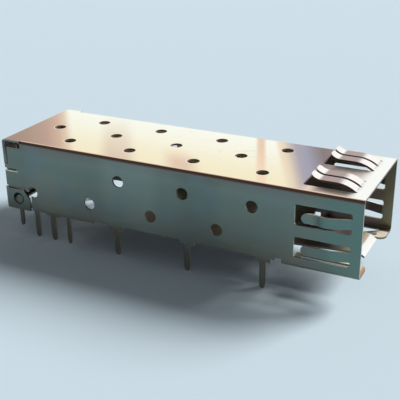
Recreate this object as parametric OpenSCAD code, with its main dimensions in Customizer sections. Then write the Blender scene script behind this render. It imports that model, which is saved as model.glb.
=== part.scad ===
// Board-mounted cage for one pluggable transceiver, stamped and folded from thin sheet.
// The port faces +X, the board is below. The cage is laid out with x = 0 at its front edge,
// y = 0 on its middle plane and z = 0 at the bottom edge of its side walls, and is then moved
// so that the origin is the bottom centre of its bounding box, on the pin tips.

/* [Cage] */
// Length from the front edge to the outside of the rear wall
cage_len = 48.75; // [44:0.25:60]
// Width over the side walls
cage_w = 14.5; // [14:0.1:18]
// Height of the top plate above the bottom edge of the side walls
cage_h = 9.3; // [9:0.1:12]
// Thickness of the sheet
sheet = 0.25; // [0.2:0.01:0.32]
// Inside radius of the folds
fold_r = 0.2; // [0.1:0.05:0.3]

/* [Vent holes] */
// Diameter of every vent hole
vent_d = 1.55; // [0.8:0.05:1.8]
// Distance from the front edge to the first hole of the outer top rows
vent_first = 13; // [12:0.5:14]
// Pitch of the holes along the cage
vent_pitch = 9; // [7:0.25:9]
// Offset of the outer top rows from the middle plane
vent_row_y = 4.1; // [2.5:0.1:5]
// Height of the upper row on a side wall
vent_upper_z = 6.2; // [5:0.1:7]
// Height of the lower row on a side wall
vent_lower_z = 2.35; // [1.5:0.05:3]

/* [Finger windows] */
// Width of the plain band between the front edge and the side and bottom windows
side_band = 1.2; // [0.8:0.1:2]
// Length of the side and bottom windows along the cage
side_window_len = 6.6; // [5.4:0.1:7]
// Width of the plain band between the front edge and the top windows
top_band = 1.4; // [0.8:0.1:2]
// Length of the top windows along the cage
top_window_len = 6.2; // [5.6:0.1:7]
// Radius of the window corners
window_r = 0.3; // [0.1:0.05:0.5]
// Width of a window in the top plate
top_window_w = 3.9; // [3.6:0.1:4.6]
// Offset of the top windows from the middle plane
top_window_y = 3.55; // [2.6:0.05:4]
// Width of a window in a side wall
side_window_w = 2.55; // [2.2:0.05:2.8]
// Heights of the two windows in a side wall
side_window_z = [2.26, 6.26];

/* [Contact fingers] */
// Width of a finger on the top plate, where two share a window
top_finger_w = 1.5; // [1.3:0.05:1.7]
// Slit between the two fingers of a top window
top_slit = 0.3; // [0.15:0.05:0.4]
// Width of the single finger of a side window
side_finger_w = 1.2; // [1:0.05:1.6]
// Width of the single finger of a flange window
flange_finger_w = 1; // [0.9:0.05:1.3]
// Gap between the tip of a top finger and the end of its window
top_tip_gap = 0.8; // [0.6:0.1:1.4]
// Gap between the tip of a side or bottom finger and the end of its window
side_tip_gap = 1; // [0.6:0.1:1.4]

/* [Bottom flanges] */
// Length of a flange's fold behind its window
flange_band = 1.4; // [1.2:0.05:1.6]
// Width of the flat band of a flange behind its window
flange_lip = 0.65; // [0.5:0.05:1]
// Reach of a flange from the outside of its wall
flange_w = 3.3; // [3:0.1:3.8]
// Height of the walls above the top of the flanges
flange_drop = 0.1; // [0.05:0.05:0.2]
// Width of the window in a flange
flange_window_w = 2.1; // [1.6:0.1:2.2]

/* [Board pins] */
// Distance from the front edge to the first of the three main pins
main_pin_first = 11.5; // [11.3:0.1:12.5]
// Pitch of the main pins
main_pin_pitch = 10; // [8:0.5:10.5]
// Width of a main pin
main_pin_w = 0.8; // [0.6:0.05:1]
// Distances from the rear wall to the three rear pins
rear_pin_back = [9.75, 7.25, 4.65];
// Widths of the rear pins
rear_pin_w = [0.6, 0.8, 0.75];
// Depth of the pin tips below the side walls
pin_reach = 4.05; // [3:0.05:5]
// Width of the shoulder that seats on the board
shoulder_w = 2; // [1.6:0.1:2.4]
// Stand-off of the side walls above the board
stand_off = 0.5; // [0.35:0.05:0.8]

/* [Base plate] */
// Gap between the base plate and the shell
seat_gap = 0.05; // [0.04:0.01:0.1]
// Distance from the rear wall to the front end of the connector opening
opening_back = 14.05; // [12:0.05:15]
// Width of the connector opening
opening_w = 12.5; // [9:0.25:12.75]
// Width of the latch tongue
tongue_w = 5.6; // [5:0.1:6]
// Width of the lip at the front end of the tongue
lip_w = 5.2; // [4.2:0.1:5.2]
// Distance from the front edge to the lip of the tongue
tongue_set_back = 0.95; // [0.4:0.05:1.5]
// Slope of the sprung tongue, in degrees
tongue_rise = 3.6; // [1:0.1:4.5]
// Width of the latch hole at its flat front edge
latch_w = 2.8; // [2:0.1:3.2]
// Distance from the front edge to the latch hole
latch_start = 7.4; // [6:0.1:8]
// Length of a rear corner flap
flap_len = 4; // [3.25:0.05:4.4]
// Height of the rear lip and its flaps above the bottom edge of the side walls
flap_h = 2.4; // [2:0.05:2.7]
// Diameter of the dimple in a flap
dimple_d = 1.7; // [1.2:0.1:2]
// Depth of the flap pins below the side walls
flap_pin_reach = 2.85; // [2:0.05:3.5]

/* [Hidden] */
$fn = 48;

far = 100;
half_w = cage_w / 2;
top_finger_len = top_window_len - top_tip_gap;
side_finger_len = side_window_len - side_tip_gap;
flange_len = side_band + side_window_len + flange_band;
flange_flat = side_band + side_window_len + flange_lip;
flange_z = -flange_drop - sheet;
main_pin_x = [for (i = [0 : 2]) main_pin_first + i * main_pin_pitch];
rear_pin_x = [for (back = rear_pin_back) cage_len - back];
opening_start = cage_len - opening_back;
fold_out = fold_r + sheet;
rear_x = -cage_len;

// Fold geometry of the fingers: facet angle, then angle and mean radius of each bend. A bow
// lists its steps as trail() takes them, and the upper side fingers stand out further.
bend_step = 4;
root_r = 0.45;
top_rise_angle = 35;
top_rise_r = 3.8;
top_curl_angle = 49;
top_curl_r = 1.7;
low_bow = [[17, root_r], [0, 1.5], [-19, 2.5]];
high_bow = [[20, root_r], [0, 1.9], [-40, 2.2], [0, 0.2], [26, 2.2]];
kick_angle = 24;
kick_len = 3.4;
kick_w = 2.2;
kick_slot = 0.2;
kick_z = cage_h - 2.1;

// Corners of the flanges
flange_corner_r = 0.9;
flange_rear_cut = 0.6;

// Rear end of the shell
wall_rear_gap = 0.4;
rear_fold_slot = 2.85;
slot_drop = 0.75;
tab_top = 5.9;
tab_slit_len = 2;
tab_slit_z = 5;
tab_slit_w = 0.28;
rear_edge_drop = 0.3;
relief_len = 0.75;
relief_h = 0.35;

// Base plate, its underside resting on the top of the flanges
floor_z = -flange_drop;
lip_gap = 0.15;
lip_outer_x = rear_x - lip_gap - sheet;
flap_front_x = lip_outer_x + flap_len;
flap_chamfer = [0.85, 1.15];
flap_gap = 0.38;
fold_half = 5.2;
rear_strip = 0.8;
latch_len = 2.4;
latch_tip_w = 0.9;
tongue_slot_w = 0.6;
tongue_root = 13.5;
lip_angle = 32;
lip_len = 0.9;
lip_shoulder = 1.8;
floor_gap = 0.15;
floor_corner = [0.7, 1.2];
tab_w = 0.8;
tab_inset = 0.85;
tab_lap = 0.5;
ear_slot = 0.3;
flap_pin_x = cage_len - 2.05;
flap_pin_w = 0.55;
dimple_x = cage_len - 1.8;
dimple_z = 1.05;

// The whole lies between the tongue-side front edge and the outside of the rear lip
mid_x = lip_outer_x / 2;

// ---- plain shapes ---------------------------------------------------------------------

// Rectangle with round corners, centred
module rounded_window(len, wid, r) {
  square([len - 2 * r, wid], center = true);
  square([len, wid - 2 * r], center = true);
  for (sx = [-1, 1], sy = [-1, 1])
    translate([sx * (len / 2 - r), sy * (wid / 2 - r)])
      circle(r = r);
}

// A board pin, its root at the origin and its tip tapered and rounded
module pin_outline(w, reach) {
  tip_r = w * 0.4;
  taper = w * 0.8;
  translate([-w / 2, -reach + taper])
    square([w, reach - taper + 0.6]);
  polygon([[-w / 2, -reach + taper], [w / 2, -reach + taper],
           [tip_r, -reach + tip_r], [-tip_r, -reach + tip_r]]);
  translate([0, -reach + tip_r])
    circle(r = tip_r);
}

// Unit vector square to a heading, in the plane of a strip's section
function across(h) = [sin(h), cos(h)];

// Points and headings along the middle of a folded strip. Each step of the path is
// [angle, size]: an angle of 0 is flat and size is its length, and any other angle bends
// the strip up (or down where negative) at that mean radius.
function trail(path, at, h = 0, i = 0) =
  i == len(path) ? [[at, h]] :
  let (angle = path[i][0], size = path[i][1])
  angle == 0
    ? concat([[at, h]], trail(path, at + size * [-cos(h), sin(h)], h, i + 1))
    : let (s = sign(angle), centre = at + s * size * across(h), n = ceil(abs(angle) / bend_step))
      concat([for (k = [0 : n - 1])
                let (g = h + angle * k / n) [centre - s * size * across(g), g]],
             trail(path, centre - s * size * across(h + angle), h + angle, i + 1));

// A folded strip of sheet that starts at the origin and runs along -X, its lower face on z = 0
module sheet_strip(path, w) {
  middle = trail(path, [0, sheet / 2]);
  upper = [for (m = middle) m[0] + sheet / 2 * across(m[1])];
  lower = [for (i = [len(middle) - 1 : -1 : 0]) middle[i][0] - sheet / 2 * across(middle[i][1])];
  translate([0, w / 2, 0])
    rotate([90, 0, 0])
      linear_extrude(w)
        polygon(concat(upper, lower));
}

// Length that a bend takes along the strip's first heading
function run(angle, r) = r * sin(angle);

// ---- contact fingers ------------------------------------------------------------------

// Outline of a finger seen square on, from its root line at x = 0 to its rounded tip
module finger_outline(len, w, tip_r) {
  translate([-len + tip_r, -w / 2])
    square([len - tip_r + 1, w]);
  translate([-len, -w / 2 + tip_r])
    square([tip_r, w - 2 * tip_r]);
  for (s = [-1, 1])
    translate([-len + tip_r, s * (w / 2 - tip_r)])
      circle(r = tip_r);
}

// A finger: the folded strip trimmed to its outline
module finger(path, len, w, tip_r) {
  lead = 0.3;
  intersection() {
    translate([lead, 0, 0])
      sheet_strip(concat([[0, lead]], path), w);
    translate([0, 0, -far / 2])
      linear_extrude(far)
        finger_outline(len, w, tip_r);
  }
}

// Finger of the top plate: it rises, runs level and curls up at its tip
module top_finger() {
  level = top_finger_len - run(top_rise_angle, root_r) - run(top_rise_angle, top_rise_r)
          - run(top_curl_angle, top_curl_r);
  finger([[top_rise_angle, root_r], [-top_rise_angle, top_rise_r], [0, level],
          [top_curl_angle, top_curl_r + 0.2]], top_finger_len, top_finger_w, 0.4);
}

// Finger of a side wall or flange: it bows out and comes back a little towards its tip
module bowed_finger(bow, w) {
  finger(concat(bow, [[0, side_finger_len]]), side_finger_len, w, w / 2 - 0.02);
}

// ---- shell ----------------------------------------------------------------------------

side_window_x = -side_band - side_window_len / 2;
top_window_x = -top_band - top_window_len / 2;

// Outline of a side wall in the XZ plane, with its shoulders, pins and rear corner
module wall_outline() {
  corner_x = flap_front_x + flap_gap;
  corner_z = flap_h + flap_gap;
  difference() {
    union() {
      polygon([
        [0, 0], [-flange_len, 0], [-flange_len, relief_h],
        [-flange_len - relief_len, relief_h], [-flange_len - relief_len, 0],
        [-opening_start, 0], [-opening_start - 0.3, -rear_edge_drop],
        [corner_x, -rear_edge_drop],
        [corner_x, corner_z - flap_chamfer[1] - 0.1],
        [corner_x - flap_chamfer[0], corner_z],
        [rear_x + seat_gap, corner_z], [rear_x + seat_gap, tab_top],
        [rear_x + sheet + wall_rear_gap, tab_top],
        [rear_x + sheet + wall_rear_gap, cage_h - sheet - slot_drop],
        [rear_x + rear_fold_slot, cage_h - sheet - slot_drop],
        [rear_x + rear_fold_slot, cage_h - fold_out],
        [0, cage_h - fold_out]
      ]);
      for (x = concat(main_pin_x, [rear_pin_x[1]]))
        translate([-x - shoulder_w / 2, -stand_off])
          square([shoulder_w, stand_off + 0.5]);
      for (x = main_pin_x)
        translate([-x, 0])
          pin_outline(main_pin_w, pin_reach);
      for (i = [0 : len(rear_pin_x) - 1])
        translate([-rear_pin_x[i], 0])
          pin_outline(rear_pin_w[i], pin_reach);
    }
    for (i = [0 : 2])
      translate([-vent_first - i * vent_pitch, vent_upper_z])
        circle(d = vent_d);
    for (i = [0 : 3])
      translate([-vent_first - (i + 0.5) * vent_pitch, vent_lower_z])
        circle(d = vent_d);
    for (z = side_window_z)
      translate([side_window_x, z])
        rounded_window(side_window_len, side_window_w, window_r);
    translate([rear_x - 1, tab_slit_z])
      square([tab_slit_len + 1, tab_slit_w]);
  }
}

// One side wall standing at y = 0, its inner face towards +Y
module side_wall() {
  rotate([90, 0, 0])
    translate([0, 0, -sheet])
      linear_extrude(sheet)
        wall_outline();
  for (i = [0, 1])
    translate([-side_band, sheet, side_window_z[i]])
      rotate([90, 0, 0])
        bowed_finger([low_bow, high_bow][i], side_finger_w);
}

// Section of a quarter fold in the YZ plane: walls along +Z from the fold and along +Y
module fold_section(inside_r = fold_r) {
  outside_r = inside_r + sheet;
  difference() {
    intersection() {
      translate([outside_r, outside_r])
        circle(r = outside_r);
      square(outside_r);
    }
    translate([outside_r, outside_r])
      circle(r = inside_r);
  }
}

// Extrudes a YZ section along the cage, between two distances from the front edge
module along_cage(from, to) {
  translate([-to, 0, 0])
    rotate([90, 0, 90])
      linear_extrude(to - from)
        children();
}

// Outline of the top plate: full width, with its vent holes and finger windows
module top_outline() {
  slot_start = cage_len - rear_fold_slot;
  difference() {
    union() {
      translate([-slot_start, -half_w + fold_out])
        square([slot_start, cage_w - 2 * fold_out]);
      translate([rear_x + fold_out, -half_w])
        square([rear_fold_slot - fold_out, cage_w]);
    }
    for (s = [-1, 1], i = [0 : 3])
      translate([-vent_first - i * vent_pitch, s * vent_row_y])
        circle(d = vent_d);
    for (i = [0 : 3])
      translate([-vent_first - (i + 0.5) * vent_pitch, 0])
        circle(d = vent_d);
    for (s = [-1, 1])
      translate([top_window_x, s * top_window_y])
        rounded_window(top_window_len, top_window_w, window_r);
  }
}

module top_plate() {
  translate([0, 0, cage_h - sheet])
    linear_extrude(sheet)
      top_outline();
  for (s = [-1, 1], t = [-1, 1])
    translate([-top_band, s * top_window_y + t * (top_finger_w + top_slit) / 2, cage_h - sheet])
      top_finger();
}

// Outline of the flat part of a flange, its fold along y = 0
module flange_outline(reach) {
  polygon(concat(
    [[0, 0]],
    [for (a = [0 : 10 : 90]) (flange_corner_r * [cos(a) - 1, sin(a) - 1]) + [0, reach]],
    [[-flange_flat, reach], [-flange_flat, flange_rear_cut], [-flange_len, 0]]
  ));
}

// Flange folded inward under the port, its underside on z = 0, with its window and finger
module bottom_flange() {
  fold_edge = flange_drop + sheet;
  reach = flange_w - fold_edge;
  along_cage(0, flange_len)
    fold_section(flange_drop);
  translate([0, fold_edge, 0]) {
    difference() {
      linear_extrude(sheet)
        flange_outline(reach);
      translate([side_window_x, reach / 2, -1])
        linear_extrude(2)
          rounded_window(side_window_len, flange_window_w, window_r);
    }
    translate([-side_band, reach / 2, sheet])
      mirror([0, 0, 1])
        bowed_finger(low_bow, flange_finger_w);
  }
}

// Rear wall folded down from the top plate, with its two kick-out springs
module rear_wall() {
  tab_half = half_w - sheet - 2 * seat_gap;
  wall_bottom = sheet + 2 * seat_gap;
  kick_y = half_w - 3.6;
  difference() {
    union() {
      translate([rear_x, half_w, cage_h])
        rotate([90, 0, 0])
          linear_extrude(cage_w)
            mirror([0, 1])
              fold_section();
      translate([rear_x, -half_w, tab_top])
        cube([sheet, cage_w, cage_h - fold_out - tab_top]);
      translate([rear_x, -tab_half, wall_bottom])
        cube([sheet, 2 * tab_half, tab_top - wall_bottom]);
    }
    for (s = [-1, 1])
      translate([rear_x - 1, s * kick_y, kick_z - kick_len / 2])
        rotate([90, 0, 90])
          linear_extrude(2)
            rounded_window(kick_w + 2 * kick_slot, kick_len + 1.2, window_r);
  }
  for (s = [-1, 1])
    translate([rear_x + sheet, s * kick_y, kick_z + 0.6])
      rotate([0, -90, 0])
        sheet_strip([[0, 0.2], [-kick_angle, root_r], [0, kick_len],
                     [2 * kick_angle, 0.8]], kick_w);
}

module shell() {
  color("lightslategray") {
    top_plate();
    rear_wall();
    for (side = [0, 1])
      mirror([0, side, 0])
        translate([0, -half_w, 0]) {
          side_wall();
          translate([0, 0, cage_h])
            mirror([0, 0, 1])
              along_cage(0, cage_len - rear_fold_slot)
                fold_section();
          translate([0, 0, flange_z])
            bottom_flange();
        }
  }
}

// ---- base plate -----------------------------------------------------------------------

// Outline of the floor between the side walls, with the connector and tongue openings
module floor_outline() {
  floor_half = half_w - sheet - seat_gap;
  floor_start = flange_len + floor_gap;
  tab_start = flange_flat - tab_lap;
  floor_end = lip_outer_x + sheet + fold_r;
  opening_end = lip_outer_x + fold_out + rear_strip;
  slot_half = tongue_w / 2 + tongue_slot_w;
  difference() {
    union() {
      translate([floor_end, -floor_half])
        square([-floor_start - floor_end, 2 * floor_half]);
      for (s = [-1, 1])
        translate([-floor_start - 1, s * (half_w - tab_inset - tab_w / 2) - tab_w / 2])
          square([floor_start + 1 - tab_start, tab_w]);
    }
    for (s = [-1, 1])
      translate([-floor_start, s * floor_half])
        square(2 * floor_corner, center = true);
    translate([-(opening_start - opening_end) / 2, 0])
      rounded_window(-opening_end - opening_start, opening_w, window_r);
    translate([-tongue_root, -slot_half])
      square([tongue_root, 2 * slot_half]);
    for (s = [-1, 1])
      translate([-tongue_root, s * (tongue_w + tongue_slot_w) / 2])
        circle(d = tongue_slot_w);
  }
}

// Sprung tongue that catches the latch post of the module
module latch_tongue() {
  level = tongue_root - tongue_set_back - lip_len * cos(lip_angle) - 0.4;
  difference() {
    translate([-tongue_root, 0, 0])
      mirror([1, 0, 0])
        sheet_strip([[0, 0.1], [tongue_rise, 5], [0, level],
                     [-lip_angle - tongue_rise, 0.4], [0, lip_len]], tongue_w);
    translate([-latch_start, 0, -1])
      linear_extrude(3)
        polygon([[0, -latch_w / 2], [0, latch_w / 2], [-0.4, latch_w / 2],
                 [-latch_len, latch_tip_w / 2], [-latch_len, -latch_tip_w / 2],
                 [-0.4, -latch_w / 2]]);
    for (s = [-1, 1])
      translate([-lip_shoulder, s * lip_w / 2, -1])
        linear_extrude(3)
          polygon([[0, 0], [far, 0], [far, 2 * s], [-2, 2 * s]]);
  }
}

// Rear lip folded up behind the rear wall of the shell, its ears reaching below the floor
module rear_lip() {
  translate([lip_outer_x, fold_half, floor_z])
    rotate([90, 0, 0])
      linear_extrude(2 * fold_half)
        fold_section();
  translate([lip_outer_x, 0, 0])
    rotate([90, 0, 90])
      linear_extrude(sheet)
        difference() {
          translate([-half_w + fold_out, -stand_off])
            square([cage_w - 2 * fold_out, flap_h + stand_off]);
          translate([-fold_half - ear_slot, -stand_off - 1])
            square([2 * (fold_half + ear_slot), stand_off + 1 + floor_z + fold_out]);
        }
}

// Corner flap folded forward from the rear lip, with its dimple and board pin
module corner_flap() {
  translate([lip_outer_x, -half_w, -stand_off])
    linear_extrude(flap_h + stand_off)
      fold_section();
  difference() {
    union() {
      translate([0, -half_w + sheet, 0])
        rotate([90, 0, 0])
          linear_extrude(sheet) {
            polygon([[lip_outer_x + fold_out, -stand_off], [flap_front_x, -stand_off],
                     [flap_front_x, flap_h - flap_chamfer[1]],
                     [flap_front_x - flap_chamfer[0], flap_h],
                     [lip_outer_x + fold_out, flap_h]]);
            translate([-flap_pin_x, 0])
              pin_outline(flap_pin_w, flap_pin_reach);
          }
      translate([-dimple_x, -half_w + sheet, dimple_z])
        rotate([-90, 0, 0])
          cylinder(h = sheet, d1 = dimple_d - 0.3, d2 = dimple_d - 0.6);
    }
    translate([-dimple_x, -half_w, dimple_z])
      rotate([-90, 0, 0])
        cylinder(h = sheet, d1 = dimple_d, d2 = dimple_d - 0.8);
  }
}

module base_plate() {
  color("lightgray") {
    translate([0, 0, floor_z]) {
      linear_extrude(sheet)
        floor_outline();
      latch_tongue();
    }
    rear_lip();
    for (side = [0, 1])
      mirror([0, side, 0])
        corner_flap();
  }
}

// The cage stands on its pin tips
module placed() {
  translate([-mid_x, 0, pin_reach])
    children();
}

placed() shell();
placed() base_plate();
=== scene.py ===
from math import cos, radians, sin

import bmesh
import bpy
from mathutils import Matrix, Vector


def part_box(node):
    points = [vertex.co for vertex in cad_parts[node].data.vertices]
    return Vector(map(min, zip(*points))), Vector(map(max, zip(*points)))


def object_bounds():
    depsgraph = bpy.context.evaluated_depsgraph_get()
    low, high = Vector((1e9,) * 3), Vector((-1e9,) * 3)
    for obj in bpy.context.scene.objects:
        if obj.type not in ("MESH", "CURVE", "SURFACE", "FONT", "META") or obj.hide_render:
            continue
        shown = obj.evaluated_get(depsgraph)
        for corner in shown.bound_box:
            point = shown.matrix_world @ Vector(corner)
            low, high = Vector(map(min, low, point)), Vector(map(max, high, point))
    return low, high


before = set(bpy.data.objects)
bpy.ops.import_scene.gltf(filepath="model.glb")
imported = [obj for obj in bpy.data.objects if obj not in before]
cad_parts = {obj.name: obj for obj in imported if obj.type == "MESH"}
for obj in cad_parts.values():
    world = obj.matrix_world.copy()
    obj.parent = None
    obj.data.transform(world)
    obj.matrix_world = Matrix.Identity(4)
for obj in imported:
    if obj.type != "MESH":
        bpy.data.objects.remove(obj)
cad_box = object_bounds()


# ---- shell ----------------------------------------------------------------------------------
# The body of the cage: one strip of copper alloy, plated with bright tin over nickel, then blanked,
# pierced and folded in a press. The cream and copper tones of the top and the slate of the walls are
# reflections painted into the plating's colour, and the cut edges show the bare alloy.

class Wire:
    """One output of a shader node. Sums and products of wires add the Math nodes for them."""

    def __init__(self, socket):
        self.socket = socket

    def node(self, kind, settings, sockets, out=0):
        """Adds a node to this wire's tree: its settings first, then its sockets' values or wires.
        It gives the wire of the output out, or a list of wires where out is a tuple."""
        tree = self.socket.id_data
        made = tree.nodes.new(kind)
        for name, value in settings.items():
            if name == "stops":
                stops = made.color_ramp.elements
                stops.remove(stops[1])
                stops[0].position, stops[0].color = value[0]
                for position, colour in value[1:]:
                    stops.new(position).color = colour
            else:
                setattr(made, name, value)
        for name, value in sockets.items():
            if isinstance(value, Wire):
                tree.links.new(value.socket, made.inputs[name])
            else:
                made.inputs[name].default_value = value
        if isinstance(out, tuple):
            return [Wire(made.outputs[o]) for o in out]
        return Wire(made.outputs[out])

    def math(self, operation, *terms):
        return self.node("ShaderNodeMath", {"operation": operation}, dict(enumerate(terms)))

    def __add__(self, other):
        return self.math("ADD", self, other)

    def __sub__(self, other):
        return self.math("SUBTRACT", self, other)

    def __rsub__(self, other):
        return self.math("SUBTRACT", other, self)

    def __mul__(self, other):
        return self.math("MULTIPLY", self, other)

    def __mod__(self, other):
        return self.math("MODULO", self, other)

    def __pow__(self, other):
        return self.math("POWER", self, other)

    def __abs__(self):
        return self.math("ABSOLUTE", self)

    __radd__ = __add__
    __rmul__ = __mul__

    def rise(self, start, end):
        """0 up to start, 1 from end, smooth between; it falls where start is the greater."""
        return self.node("ShaderNodeMapRange", {"interpolation_type": "SMOOTHSTEP"},
                         {"Value": self, "From Min": start, "From Max": end})

    def near(self, centre, flat, soft):
        """1 within flat of centre, falling to 0 over soft."""
        return abs(self - centre).rise(flat + soft, flat)

    def ramp(self, *stops):
        """Colours by value; each stop is (value, colour)."""
        low, high = stops[0][0], stops[-1][0]
        scaled = [((value - low) / (high - low), colour) for value, colour in stops]
        return self.node("ShaderNodeValToRGB", {"stops": scaled}, {0: (self - low) * (1 / (high - low))})

    def paint(self, under, over):
        """The colour under where this mask is 0, and over where it is 1."""
        return self.node("ShaderNodeMix", {"data_type": "RGBA"}, {0: self, 6: under, 7: over}, 2)


def coats(colour, *layers):
    """Paints the colour over with each (mask, colour) layer in turn."""
    for mask, over in layers:
        colour = mask.paint(colour, over)
    return colour


def tone(red, green, blue):
    """A colour as a paint chart gives it, 0 to 255, made linear."""
    return tuple(((c / 255 + 0.055) / 1.055) ** 2.4 for c in (red, green, blue)) + (1,)


def start_finish(name):
    """A new material with its place in mm and facing: (material, place, x, y, z, nx, ny, nz)."""
    material = bpy.data.materials.new(name)
    material.use_nodes = True
    shader = Wire(material.node_tree.nodes["Principled BSDF"].outputs[0])
    metres, normal = shader.node("ShaderNodeTexCoord", {}, {}, ("Object", "Normal"))
    place = metres.node("ShaderNodeVectorMath", {"operation": "SCALE"}, {0: metres, "Scale": 1000})
    axes = place.node("ShaderNodeSeparateXYZ", {}, {0: place}, (0, 1, 2))
    facing = normal.node("ShaderNodeSeparateXYZ", {}, {0: normal}, (0, 1, 2))
    return material, place, *axes, *facing


def noise(place, stretch, detail):
    """Grain of size 1 mm over stretch, along each axis."""
    scaled = place.node("ShaderNodeVectorMath", {"operation": "MULTIPLY"}, {0: place, 1: stretch})
    return scaled.node("ShaderNodeTexNoise", {}, {"Vector": scaled, "Scale": 1, "Detail": detail})


def finish_plating(material, place, colour, dull):
    """Joins a material up as plated sheet: rolling grain along the strip, and matt where it is dull."""
    grain = noise(place, (0.3, 9, 9), 3)
    dapple = noise(place, (0.9, 0.9, 0.9), 3)
    grained = grain.node("ShaderNodeVectorMath", {"operation": "SCALE"},
                         {0: colour, "Scale": 0.93 + grain * 0.09 + dapple * 0.05})
    relief = grain * 0.5 + dapple * 2
    bump = relief.node("ShaderNodeBump", {}, {"Strength": 0.25, "Distance": 0.00003, "Height": relief})
    roughness = 0.28 + grain * 0.06 + dapple * 0.08 + dull * 0.2
    shader = material.node_tree.nodes["Principled BSDF"]
    for name, wire in (("Base Color", grained), ("Metallic", 1 - dull * 0.8),
                       ("Roughness", roughness), ("Normal", bump)):
        material.node_tree.links.new(wire.socket, shader.inputs[name])


# Sizes in mm. Heights are above the foot of the walls, and the pins reach below it.
front_edge = cad_box[1][0] * 1000
half_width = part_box("base_plate")[1].y * 1000
pin_reach = 4.05
cage_height = 9.3
sheet = 0.25
vent_radius = 0.775
vent_pitch = 9
vent_rows = ((13, 4.1), (17.5, 0))
finger_parting = 3.55
slit_start = 46.75
slit_height = 5

edge_painted_shade = tone(70, 56, 46)
inner_shade = tone(140, 122, 118)
slate_shade = tone(84, 98, 94)

shell_finish, place, x, y, z, nx, ny, nz = start_finish("shell_finish")
back = front_edge - x
across = y + half_width
height = z - pin_reach
side = y.rise(-0.01, 0.01) * 2 - 1


def aslant(lean):
    """Distance behind the front edge, for bands that lean back across the top."""
    return back - across * lean


# Outside of the walls: slate painted reflection, a little warmer at the foot
walls_painted_reflection = coats(
    height.ramp((1.0, tone(125, 129, 119)), (2.3, tone(117, 127, 120)), (3.7, tone(114, 125, 118)),
                (5.0, tone(112, 126, 118)), (6.2, tone(110, 125, 119)), (7.6, tone(115, 130, 123)),
                (8.8, tone(115, 116, 112))),
    # Painted reflection, greener at the port, and paler or darker in soft bands along the wall
    (back.rise(7, 3) * 0.8, tone(96, 126, 120)),
    (back.near(29.5, 2.5, 2.5) * 0.35, tone(136, 150, 146)),
    (back.rise(32, 44) * height.rise(8, 3) * 0.25, tone(152, 164, 154)),
    (back.near(20, 1.5, 2.5) * 0.3, slate_shade),
    (back.rise(43, 46) * 0.25, slate_shade),
    # Pins
    (height.rise(0.3, -0.5), tone(122, 116, 102)),
    # Painted highlight on a burr under the slit of the rear tab
    (back.rise(slit_start - 0.25, slit_start + 0.05) * height.near(slit_height - 0.07, 0.05, 0.04)
     * abs(ny).rise(0.5, 0.8), tone(212, 218, 200)),
    # Bluish patches in the plating
    (noise(place, (0.22, 0.3, 0.22), 2).rise(0.5, 0.68) * 0.3, tone(108, 128, 138)),
)

# Top: painted reflections, cream, copper towards the rear, and lilac behind the fingers
copper_painted_reflection = aslant(0.78).ramp((36.5, tone(246, 230, 200)), (39.3, tone(208, 170, 143)),
                           (41.3, tone(185, 147, 126)), (45, tone(165, 132, 110)),
                           (48, tone(152, 124, 106)))
streak = across.rise(2, 13).paint(tone(244, 216, 184), tone(234, 200, 170))
lilac = aslant(0.47).ramp((1, tone(138, 112, 100)), (3, tone(122, 105, 102)),
                          (5.2, tone(155, 150, 168)), (6.4, tone(166, 157, 168)),
                          (7.1, tone(196, 180, 171)), (7.9, tone(230, 208, 182)),
                          (9.2, tone(246, 232, 198)))
between_windows = back.ramp((1.4, tone(236, 226, 212)), (2.4, tone(216, 204, 192)),
                            (6, tone(168, 151, 146)))
beside_window = back.ramp((1, tone(230, 220, 200)), (2.2, tone(184, 175, 160)),
                          (4, tone(205, 186, 174)), (6, tone(232, 206, 194)))
scuff = abs(noise(place, (0.16, 0.5, 0.5), 2) - 0.5).rise(0.012, 0.002)
scuff = scuff * back.near(25, 9, 8) * noise(place, (0.3, 0.4, 0.4), 1).rise(0.48, 0.6)
top = coats(
    across.rise(0, 2 * half_width).paint(tone(246, 232, 196), tone(250, 248, 234)),
    (aslant(0.78).rise(36.5, 38.2), copper_painted_reflection),
    # Two soft tan bands and a narrow streak of painted reflection
    (aslant(0.62).near(30.9, 0.9, 2.4) * (1 - across * 0.07), tone(222, 196, 172)),
    (aslant(0.62).near(21.9, 0.5, 2.6) * across.rise(7, 1.5), tone(228, 196, 168)),
    (aslant(0.41).near(11.9, 0.2, 0.7), streak),
    (aslant(0.47).rise(9.4, 8.6), lilac),
    # Painted reflections: strips between and beside the two finger windows, then one along the front
    # edge
    (back.rise(7.6, 5.6) * across.near(half_width, 2, 0.8), between_windows),
    (back.rise(8, 6.5) * across.rise(2.7, 2.2), beside_window),
    (back.near(3.4, 1.2, 0.5) * across.near(1.75, 0.12, 0.1), tone(216, 220, 212)),
    (across.rise(12.6, 13) * back.rise(7, 3), tone(248, 242, 230)),
    (back.rise(2.6, 1), tone(250, 248, 243)),
    # Faint scuffs
    (scuff * 0.4, tone(230, 208, 180)),
)

# Painted glints where burrs catch light on the near and rear sides of the vent holes
for first, row in vent_rows:
    along = (back - first + vent_pitch / 2) % vent_pitch - vent_pitch / 2
    aside = y - side * row
    rim = ((along * along + aside * aside) ** 0.5).near(vent_radius + 0.045, 0.03, 0.05)
    glint = rim * (along * 0.6 - aside).rise(0.1, 0.5) * back.rise(46, 45)
    top = glint.paint(top, tone(250, 240, 226))

# Fingers of the top, painted highlight where they slope to the front and painted shade where level, then
# the flanges below
proud = height.rise(cage_height + 0.04, cage_height + 0.12)
low = height.rise(1.2, 0.9)
top = coats(
    top,
    (proud, nx.rise(0.02, 0.24).paint(tone(172, 150, 145), tone(255, 247, 242))),
    # Painted shade along the parting of each pair of fingers
    (proud * abs(y).near(finger_parting, 0.2, 0.06), tone(74, 60, 66)),
    # Flanges: pale on top, with painted shade at the fold
    (low, abs(y).rise(5.7, 6.1).paint(tone(246, 230, 210), tone(66, 54, 44))),
    (low * back.rise(0.6, 0.15) * y.rise(0, -1), tone(206, 158, 116)),
)

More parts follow.
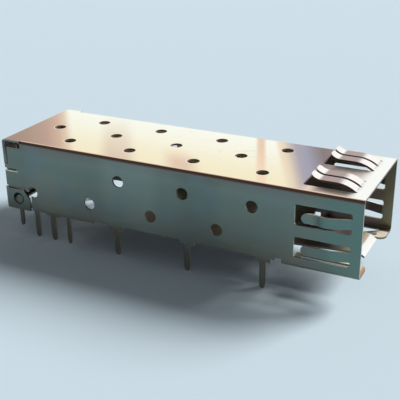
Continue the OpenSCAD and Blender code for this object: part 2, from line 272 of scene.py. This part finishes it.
# Fold between the top and a wall: a lit line, then a dark one
fold = abs(y).rise(6.78, 6.84) * height.rise(cage_height - 0.6, cage_height - 0.45)
fold = fold * nz.rise(0.995, 0.98) * nz.rise(-0.1, 0.05)
fold_tones = nz.ramp((0, tone(108, 116, 112)), (0.15, tone(96, 100, 96)), (0.38, tone(66, 50, 44)),
                     (0.86, tone(66, 48, 40)), (0.95, tone(238, 205, 180)), (1, tone(246, 225, 198)))

# Inside of the walls: painted shade near the port, then paler with warm painted light further back
within = coats(
    back.ramp((1, tone(122, 118, 98)), (3, inner_shade), (9, inner_shade), (13, tone(184, 188, 176))),
    (back.rise(11, 13) * height.rise(3, 6), tone(255, 218, 176)),
)

# Cut edges of the top plate and of the walls
top_cut = height.near(cage_height - sheet / 2, 0.13, 0.01)
top_cut = top_cut * abs(y).rise(6.9, 6.75) * abs(nz).rise(0.3, 0.15)
wall_cut = abs(y).near(half_width - sheet / 2, 0.12, 0.01) * abs(ny).rise(0.3, 0.15)
wall_cut = wall_cut * height.rise(cage_height - 0.4, cage_height - 0.5)
tab_slit = back.rise(slit_start - 0.25, slit_start + 0.15) * height.near(slit_height, 0.3, 0.2)
tab_slit = tab_slit * nz.rise(0.3, 0.7)

colour = coats(
    # Slate walls and cream top set apart by facing: painted reflections on one plating
    nz.rise(0.4, 0.75).paint(walls_painted_reflection, top),
    (fold, fold_tones),
    ((side * ny).rise(-0.3, -0.6), within),
    # Undersides a plain grey, painted paler to light the inside of the cage
    (nz.rise(-0.3, -0.6), tone(164, 160, 148)),
    (back.rise(47, 48) * nx.rise(0.5, 0.7), inner_shade),
    (top_cut, tone(150, 120, 96)),
    # Cut edges of the walls in painted shade where they face down, painted light where they face up
    (wall_cut, nz.rise(0, 0.7).paint(edge_painted_shade, tone(165, 150, 135))),
    (tab_slit, tone(232, 190, 152)),
    # Cut edges facing the port, painted light
    (wall_cut * nx.rise(0.5, 0.8), tone(196, 194, 188)),
    # Cut sides of the top fingers in painted shade
    (proud * abs(ny).rise(0.4, 0.7), edge_painted_shade),
)
dull = low * nz.rise(0.4, 0.7) * back.rise(6, 3) + top_cut * back.rise(9, 10)
finish_plating(shell_finish, place, colour, dull)
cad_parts["shell"].material_slots[0].material = shell_finish


# ---- base plate -----------------------------------------------------------------------------
# The floor of the cage, pressed from the same plated strip. Its lip and corner flaps fold up round
# the rear of the shell and are staked there, and its tongue is sprung up towards the port.

dimple_back = 46.95
dimple_height = 1.05

base_finish, place, x, y, z, nx, ny, nz = start_finish("base_finish")
back = front_edge - x
height = z - pin_reach
# Upright faces: slate painted reflection, as on the walls
lip_and_flaps = height.ramp((-0.5, tone(112, 114, 105)), (1, tone(121, 132, 125)),
                            (2.4, tone(120, 133, 127)))
# Tops: painted light towards the port, painted shade under the shell, paler again further back
floor = coats(
    back.ramp((1, tone(245, 228, 205)), (1.5, tone(236, 204, 170)), (2.4, tone(150, 140, 108)),
              (4, tone(105, 92, 84)), (9, tone(105, 92, 84)), (13, tone(190, 184, 168))),
    # Painted shade on the cut edges on top of the flaps, then a painted highlight on the lip of the
    # tongue
    (abs(y).rise(6.7, 6.8) * back.rise(45, 45.5), tone(72, 68, 60)),
    (nx.rise(0.1, 0.35) * back.rise(3, 2), tone(252, 250, 244)),
)
# A dark ring of painted shade round the dimple in each flap
from_dimple = ((back - dimple_back) ** 2 + (height - dimple_height) ** 2) ** 0.5
dimple = from_dimple.rise(0.56, 0.66).paint(tone(84, 82, 76), tone(42, 46, 42))
colour = coats(
    nz.rise(0.3, 0.6).paint(lip_and_flaps, floor),
    # Undersides in painted shade
    (nz.rise(-0.3, -0.6), tone(96, 92, 88)),
    (from_dimple.rise(1.05, 0.95) * abs(ny).rise(0.98, 0.9), dimple),
)
tongue = nz.rise(0.3, 0.6) * nx.rise(0.3, 0.1) + nx.rise(0.3, 0.4) * 0.5
finish_plating(base_finish, place, colour, tongue * back.rise(5, 2.5))
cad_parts["base_plate"].material_slots[0].material = base_finish


# ---- table, light and view --------------------------------------------------------------------
# A pale matt table under a soft sun, a broad lamp and an even sky, seen from above the port's
# near side.

table_half_side = 8
collection = bpy.context.scene.collection

table_mesh = bpy.data.meshes.new("table")
board = bmesh.new()
bmesh.ops.create_grid(board, x_segments=1, y_segments=1, size=table_half_side)
board.to_mesh(table_mesh)
board.free()
table = bpy.data.objects.new("table", table_mesh)
collection.objects.link(table)
table_finish = bpy.data.materials.new("table_finish")
table_finish.use_nodes = True
paintwork = table_finish.node_tree.nodes["Principled BSDF"]
paintwork.inputs["Base Color"].default_value = tone(207, 223, 232)
paintwork.inputs["Roughness"].default_value = 0.8
table_mesh.materials.append(table_finish)

# The sky lights softly, and it shows brighter where it is seen, directly or in the plating
sky = bpy.data.worlds.new("sky")
sky.use_nodes = True
background = sky.node_tree.nodes["Background"]
to_eye, to_gloss, through_glass = Wire(background.outputs[0]).node(
    "ShaderNodeLightPath", {}, {}, ("Is Camera Ray", "Is Glossy Ray", "Is Transmission Ray"))
seen = to_eye + to_gloss + through_glass
sky_tone = seen.paint(tone(96, 98, 102), tone(240, 244, 245))
sky.node_tree.links.new(sky_tone.socket, background.inputs["Color"])
bpy.context.scene.world = sky

key = bpy.data.lights.new("key", "SUN")
key.energy = 4.5
key.angle = radians(26)
sheen = bpy.data.lights.new("sheen", "AREA")
sheen.shape = "DISK"
sheen.size = 1.4
sheen.energy = 0.6
for lamp, spot in ((key, Vector((0.48, 0.52, 0.5))), (sheen, Vector((-0.15, 0.82, 0.5)))):
    holder = bpy.data.objects.new(lamp.name, lamp)
    collection.objects.link(holder)
    holder.location = spot
    holder.rotation_euler = spot.to_track_quat("Z", "Y").to_euler()
    holder.visible_glossy = lamp is sheen

# The eye, turned by its azimuth from the -Y side towards the port, and rolled a little
azimuth, elevation, roll = radians(26.84), radians(23.59), radians(-0.75)
away = Vector((sin(azimuth) * cos(elevation), -cos(azimuth) * cos(elevation), sin(elevation)))
right = Vector((0, 0, 1)).cross(away).normalized()
up = away.cross(right)
lens = bpy.data.cameras.new("camera")
lens.lens = 70.6
lens.sensor_width = 36
lens.clip_start = 0.005
camera = bpy.data.objects.new("camera", lens)
collection.objects.link(camera)
stand = Matrix.Rotation(roll, 4, away) @ Matrix((right, up, away)).transposed().to_4x4()
stand.translation = Vector((0.04328, -0.08291, 0.04694))
camera.matrix_world = stand
bpy.context.scene.camera = camera
bpy.context.scene.view_settings.view_transform = "Standard"
